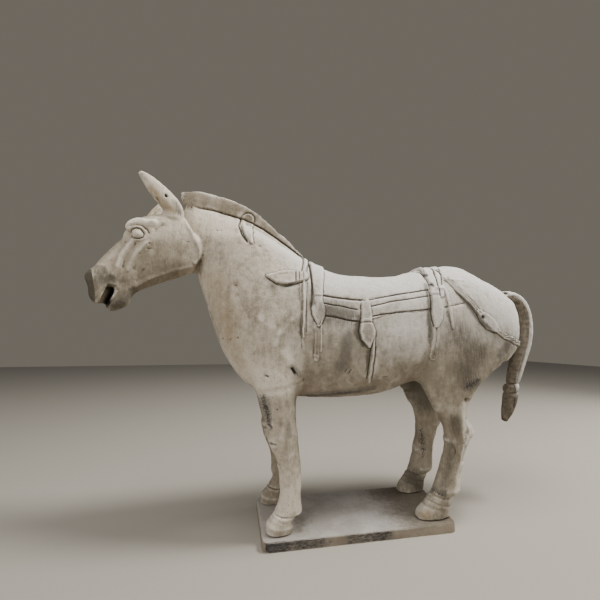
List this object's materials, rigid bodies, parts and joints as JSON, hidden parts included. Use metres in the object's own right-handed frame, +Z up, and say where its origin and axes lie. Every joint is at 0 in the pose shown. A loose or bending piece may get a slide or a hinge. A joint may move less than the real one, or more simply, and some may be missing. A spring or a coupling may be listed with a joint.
{
  "type": "terracotta horse statue",
  "caption": "Fired clay horse standing square on a thin slab, head turned to its left, with a saddle cloth and straps in low relief.",
  "frame": {"origin": "on the slab's underside, at the middle of its depth and of its left edge's length", "axes": "+X from the horse's head towards its tail, +Y from its left flank to its right, +Z up"},
  "size_m": [0.6335, 0.1344, 0.4435],
  "materials": {
    "cream_slip": "matt, worn slip",
    "brown_clay": "matt, worn slip",
    "bare_clay": "matt, bare fired clay"
  },
  "bodies": {
    "root": {"horse": "cream_slip", "tail": "brown_clay", "base_slab": "bare_clay"}
  },
  "joints": []
}
